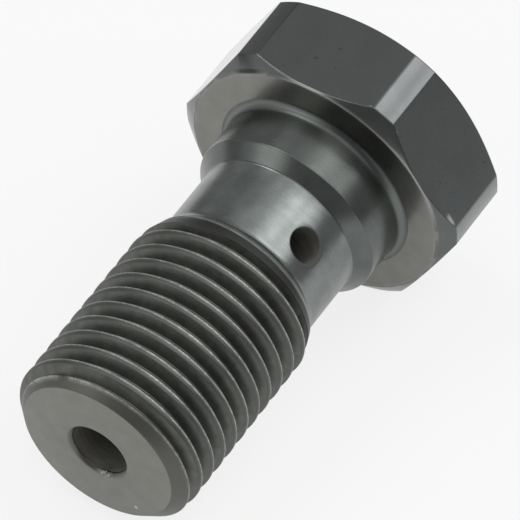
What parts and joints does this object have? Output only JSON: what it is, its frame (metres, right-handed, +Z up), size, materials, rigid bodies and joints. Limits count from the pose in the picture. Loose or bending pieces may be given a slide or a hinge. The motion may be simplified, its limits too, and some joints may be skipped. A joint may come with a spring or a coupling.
{
  "type": "banjo bolt",
  "caption": "Hollow hexagon-head bolt with a fine thread, a necked shank, a blind axial bore and a cross hole, which clamps a ring-shaped hose end and feeds fluid into it.",
  "frame": {"origin": "on the surface that the bolt lies on, under the middle of its length and width", "axes": "+X runs along the bolt from its thread end to its head, which is a little higher; +Z is up; the bolt's own axis leans 6.4 degrees up from +X"},
  "size_m": [0.0252, 0.0156, 0.0144],
  "materials": {
    "oxide_steel": "dark grey satin oxide on turned steel"
  },
  "bodies": {
    "root": {"banjo_bolt": "oxide_steel"}
  },
  "joints": []
}
